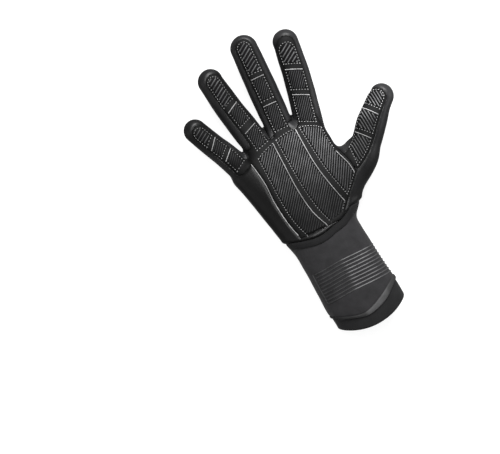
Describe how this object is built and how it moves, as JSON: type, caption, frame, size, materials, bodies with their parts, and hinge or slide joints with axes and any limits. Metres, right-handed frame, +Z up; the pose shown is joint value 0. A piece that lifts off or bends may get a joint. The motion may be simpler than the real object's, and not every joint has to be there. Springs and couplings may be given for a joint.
{
  "type": "diving glove",
  "caption": "Right-hand neoprene diving glove lying palm up: smooth-skin back, ribbed grip palm and finger pads, long ribbed cuff with a taped hem, hollow and open at the wrist.",
  "frame": {"origin": "middle of the glove's box on the surface that it lies on", "axes": "+X to the thumb side, +Y from the open cuff to the fingertips, +Z up, out of the palm"},
  "size_m": [0.196, 0.2998, 0.0557],
  "materials": {
    "smooth_skin": "smooth satin neoprene skin, charcoal",
    "palm_fabric": "matt black knitted lining fabric on neoprene",
    "grip_rubber": "printed rubber ribs on black fabric, with pale grey stitching",
    "cuff_fabric": "matt charcoal stretch fabric on neoprene",
    "cuff_rubber": "satin grey rubber ribs and tape",
    "seam_tape": "dark satin seam tape"
  },
  "bodies": {
    "root": {"back_panel": "smooth_skin", "middle_finger_back": "smooth_skin", "ring_finger_back": "smooth_skin", "knuckle_tape": "seam_tape", "palm_panel": "palm_fabric", "thumb_panel": "palm_fabric", "palm_grip_outer": "grip_rubber", "palm_grip_middle": "grip_rubber", "palm_grip_inner": "grip_rubber", "index_base_pad": "grip_rubber", "index_middle_pad": "grip_rubber", "index_tip_pad": "grip_rubber", "middle_base_pad": "grip_rubber", "middle_middle_pad": "grip_rubber", "middle_tip_pad": "grip_rubber", "ring_base_pad": "grip_rubber", "ring_middle_pad": "grip_rubber", "ring_tip_pad": "grip_rubber", "little_base_pad": "grip_rubber", "little_middle_pad": "grip_rubber", "little_tip_pad": "grip_rubber", "thumb_base_pad": "grip_rubber", "thumb_middle_pad": "grip_rubber", "thumb_tip_pad": "grip_rubber", "cuff": "cuff_fabric", "wrist_band": "cuff_fabric", "cuff_rib_01": "cuff_rubber", "cuff_rib_02": "cuff_rubber", "cuff_rib_03": "cuff_rubber", "cuff_rib_04": "cuff_rubber", "cuff_rib_05": "cuff_rubber", "cuff_rib_06": "cuff_rubber", "cuff_rib_07": "cuff_rubber", "cuff_rib_08": "cuff_rubber", "cuff_rib_09": "cuff_rubber", "cuff_rib_10": "cuff_rubber", "badge": "seam_tape", "hem_tape": "cuff_rubber", "cuff_end_band": "cuff_fabric"}
  },
  "joints": []
}
